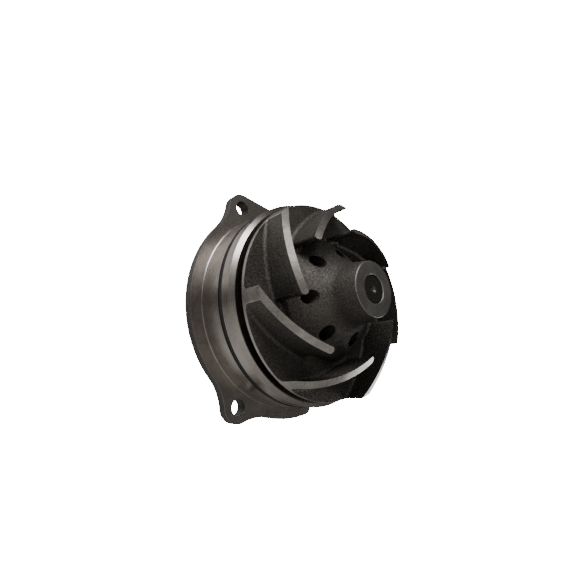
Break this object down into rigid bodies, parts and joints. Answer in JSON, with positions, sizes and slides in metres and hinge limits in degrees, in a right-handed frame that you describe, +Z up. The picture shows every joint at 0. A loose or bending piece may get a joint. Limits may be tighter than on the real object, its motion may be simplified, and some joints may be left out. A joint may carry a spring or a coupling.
{
  "type": "engine water pump",
  "caption": "Centrifugal engine coolant pump: open swept-vane impeller on a round spigot housing with a lugged bolt flange, sealed shaft bearing and ribbed belt pulley.",
  "frame": {"origin": "on the shaft axis, in the plane of the flange's mounting face, which is the centre of the bolt circle", "axes": "-Y along the shaft towards the impeller's nose, +Y towards the belt pulley, +Z up, +X towards the third bolt lug"},
  "size_m": [0.1688, 0.1504, 0.1596],
  "materials": {
    "machined_iron": "machined cast iron, satin, dark warm grey",
    "cast_impeller": "sand-cast iron, rough, with machined vane tops and nose",
    "shaft_steel": "ground steel",
    "bearing_steel": "ground and polished steel",
    "spring_steel": "drawn stainless wire",
    "seal_brass": "drawn brass sheet",
    "black_rubber": "moulded rubber",
    "cage_plastic": "glass-filled nylon",
    "seal_carbon": "lapped carbon graphite",
    "seal_ceramic": "lapped ceramic",
    "filter_foam": "open-cell foam",
    "pulley_steel": "black coated steel"
  },
  "bodies": {
    "pump_body": {"housing": "machined_iron", "spigot_o_ring": "black_rubber", "bearing_outer_ring": "bearing_steel", "bearing_front_seal": "black_rubber", "bearing_rear_seal": "black_rubber", "bearing_retaining_ring": "spring_steel", "seal_case": "seal_brass", "seal_bellows": "black_rubber", "seal_spring": "spring_steel", "weep_filter": "filter_foam"},
    "rotor": {"pump_shaft": "shaft_steel", "impeller": "cast_impeller", "belt_pulley": "pulley_steel", "seal_mating_ring": "seal_ceramic", "mating_ring_cup": "black_rubber", "slinger_ring": "black_rubber"},
    "ball_set": {"bearing_balls": "bearing_steel", "ball_cage": "cage_plastic"},
    "roller_set": {"bearing_rollers": "bearing_steel", "roller_cage": "cage_plastic"},
    "seal_face": {"seal_carbon_ring": "seal_carbon", "seal_spring_seat": "seal_brass"}
  },
  "joints": [
    {"name": "shaft_spin", "type": "hinge", "parent": "pump_body", "child": "rotor", "pos_m": [0, 0, 0], "axis": [0, -1, 0], "continuous": true},
    {"name": "ball_cage_spin", "type": "hinge", "parent": "pump_body", "child": "ball_set", "pos_m": [0, 0.005, 0], "axis": [0, -1, 0], "continuous": true},
    {"name": "roller_cage_spin", "type": "hinge", "parent": "pump_body", "child": "roller_set", "pos_m": [0, 0.026, 0], "axis": [0, -1, 0], "continuous": true},
    {"name": "seal_float", "type": "slide", "parent": "pump_body", "child": "seal_face", "axis": [0, 1, 0], "range_m": [0, 0.0008], "stiffness_N_per_m": 2000, "springref_m": -0.004, "deforming": ["seal_spring", "seal_bellows"]}
  ],
  "couplings": [
    {"joint": "ball_cage_spin", "follows": "shaft_spin", "ratio": 0.35606},
    {"joint": "roller_cage_spin", "follows": "shaft_spin", "ratio": 0.38121}
  ]
}
